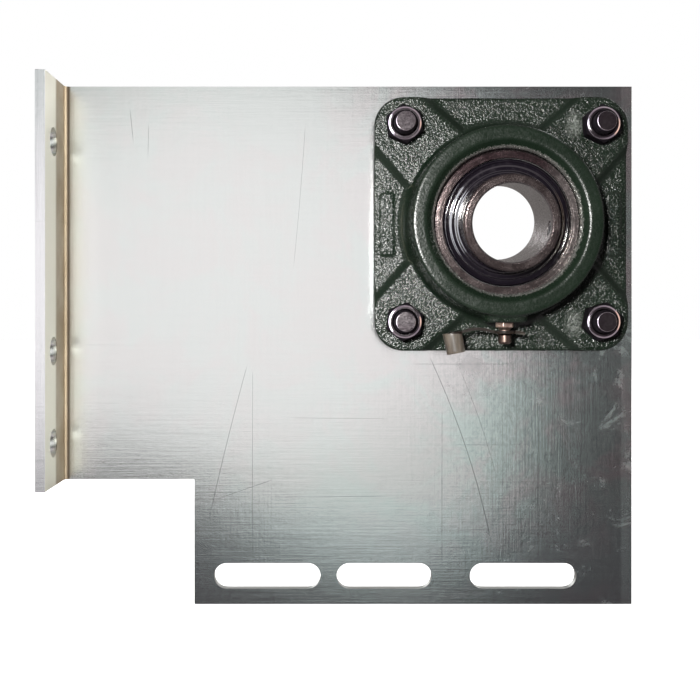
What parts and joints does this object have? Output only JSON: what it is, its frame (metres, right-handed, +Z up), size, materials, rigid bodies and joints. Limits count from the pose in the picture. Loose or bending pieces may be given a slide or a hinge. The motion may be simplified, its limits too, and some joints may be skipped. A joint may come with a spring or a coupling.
{
  "type": "flange mount bearing",
  "caption": "Self-aligning insert bearing in a square cast flange housing, bolted to a bent end plate that fixes to a wall and carries a shaft and a slotted track joint.",
  "frame": {"origin": "centre of the housing's spherical seat, on the shaft's axis, 18 mm in front of the plate", "axes": "+X right and +Z up as seen from the bearing's side, +Y from the bearing through the plate"},
  "size_m": [0.2515, 0.0518, 0.226],
  "materials": {
    "galvanised_steel": "galvanised sheet, brushed and scuffed",
    "green_cast_iron": "dark green enamel on sand-cast iron",
    "bearing_steel": "ground, lightly oiled",
    "cage_steel": "stamped",
    "seal_rubber": "smooth",
    "black_slinger": "glossy black",
    "ball_steel": "polished",
    "black_oxide_steel": "black oxide",
    "zinc_plated_steel": "bright zinc plate",
    "nipple_brass": "machined, lightly tarnished",
    "cap_plastic": "translucent polyethylene"
  },
  "bodies": {
    "bracket": {"bracket_plate": "galvanised_steel", "housing": "green_cast_iron", "bolt_1": "zinc_plated_steel", "bolt_2": "zinc_plated_steel", "bolt_3": "zinc_plated_steel", "bolt_4": "zinc_plated_steel", "nut_1": "zinc_plated_steel", "nut_2": "zinc_plated_steel", "nut_3": "zinc_plated_steel", "nut_4": "zinc_plated_steel", "nipple_body": "nipple_brass", "nipple_spring": "ball_steel"},
    "outer_race": {"outer_ring": "bearing_steel", "front_seal": "seal_rubber", "rear_seal": "seal_rubber"},
    "inner_race": {"inner_ring": "bearing_steel", "front_slinger": "black_slinger", "rear_slinger": "black_slinger"},
    "cage": {"cage_front": "cage_steel", "cage_rear": "cage_steel", "cage_rivets": "cage_steel", "ball_1": "ball_steel", "ball_2": "ball_steel", "ball_3": "ball_steel", "ball_4": "ball_steel", "ball_5": "ball_steel", "ball_6": "ball_steel", "ball_7": "ball_steel", "ball_8": "ball_steel", "ball_9": "ball_steel"},
    "set_screw_a": {"set_screw_1": "black_oxide_steel"},
    "set_screw_b": {"set_screw_2": "black_oxide_steel"},
    "nipple_cap": {"dust_cap": "cap_plastic"},
    "check_ball": {"nipple_ball": "ball_steel"}
  },
  "joints": [
    {"name": "align_tilt", "type": "hinge", "parent": "bracket", "child": "outer_race", "pos_m": [0, 0, 0], "axis": [1, 0, 0], "range_deg": [-9.5, 0.5]},
    {"name": "shaft_spin", "type": "hinge", "parent": "outer_race", "child": "inner_race", "pos_m": [0, 0, 0], "axis": [0, -0.9969, -0.0785], "continuous": true},
    {"name": "cage_spin", "type": "hinge", "parent": "outer_race", "child": "cage", "pos_m": [0, 0, 0], "axis": [0, -0.9969, -0.0785], "continuous": true},
    {"name": "set_screw_a_travel", "type": "slide", "parent": "inner_race", "child": "set_screw_a", "axis": [-0.9903, -0.0109, 0.1387], "range_m": [-0.0015, 0.0006]},
    {"name": "set_screw_b_travel", "type": "slide", "parent": "inner_race", "child": "set_screw_b", "axis": [0.3746, 0.0727, -0.9243], "range_m": [-0.0015, 0.0006]},
    {"name": "cap_swing", "type": "hinge", "parent": "bracket", "child": "nipple_cap", "pos_m": [0, -0.0035, -0.0458], "axis": [0, 0, 1], "range_deg": [-12, 180]},
    {"name": "check_ball_lift", "type": "slide", "parent": "bracket", "child": "check_ball", "axis": [0, 0, 1], "range_m": [0, 0.0008], "stiffness_N_per_m": 100, "springref_m": -0.001, "deforming": ["nipple_spring"]}
  ],
  "couplings": [
    {"joint": "cage_spin", "follows": "shaft_spin", "ratio": 0.39647}
  ]
}
